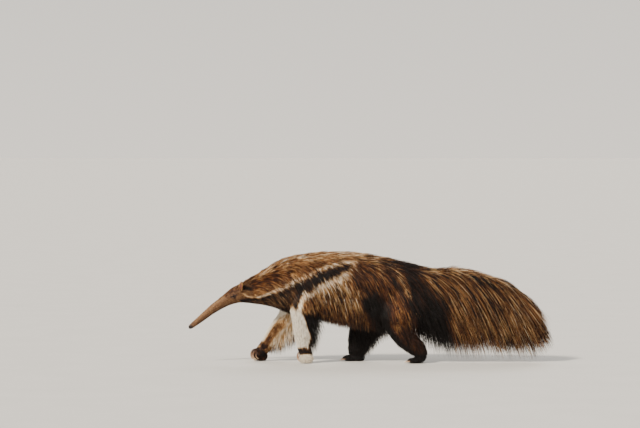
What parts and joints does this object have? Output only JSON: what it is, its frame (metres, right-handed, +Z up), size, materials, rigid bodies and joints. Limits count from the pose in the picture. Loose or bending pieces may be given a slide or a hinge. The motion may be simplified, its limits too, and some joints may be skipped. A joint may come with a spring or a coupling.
{
  "type": "giant anteater",
  "caption": "Life-size still model of a giant anteater, walking, with a long snout, shaggy coat and a deep plume of a tail.",
  "frame": {"origin": "on the floor under the middle of the whole animal", "axes": "+Z up, the head points along -X and the tail along +X, the animal's right side is +Y"},
  "size_m": [1.9994, 0.2942, 0.6109],
  "materials": {
    "coat": "coarse banded brown and black hair",
    "pale_coat": "short cream hair with a dark bracelet",
    "face": "short close tan hair over skin",
    "ear": "thin skin with a pale hairy rim",
    "eye": "dark and wet",
    "claw": "worn horn"
  },
  "bodies": {
    "root": {"claw_foreleg_left_1": "claw", "claw_foreleg_left_2": "claw", "claw_foreleg_left_3": "claw", "claw_foreleg_left_4": "claw", "claw_foreleg_right_1": "claw", "claw_foreleg_right_2": "claw", "claw_foreleg_right_3": "claw", "claw_foreleg_right_4": "claw", "claw_hindleg_left_1": "claw", "claw_hindleg_left_2": "claw", "claw_hindleg_left_3": "claw", "claw_hindleg_left_4": "claw", "claw_hindleg_left_5": "claw", "claw_hindleg_right_1": "claw", "claw_hindleg_right_2": "claw", "claw_hindleg_right_3": "claw", "claw_hindleg_right_4": "claw", "claw_hindleg_right_5": "claw", "ear_left": "ear", "ear_right": "ear", "eye_left": "eye", "eye_right": "eye", "foreleg_left": "pale_coat", "foreleg_right": "pale_coat", "head": "face", "hindleg_left": "coat", "hindleg_right": "coat", "neck": "coat", "tail": "coat", "torso": "coat"}
  },
  "joints": []
}
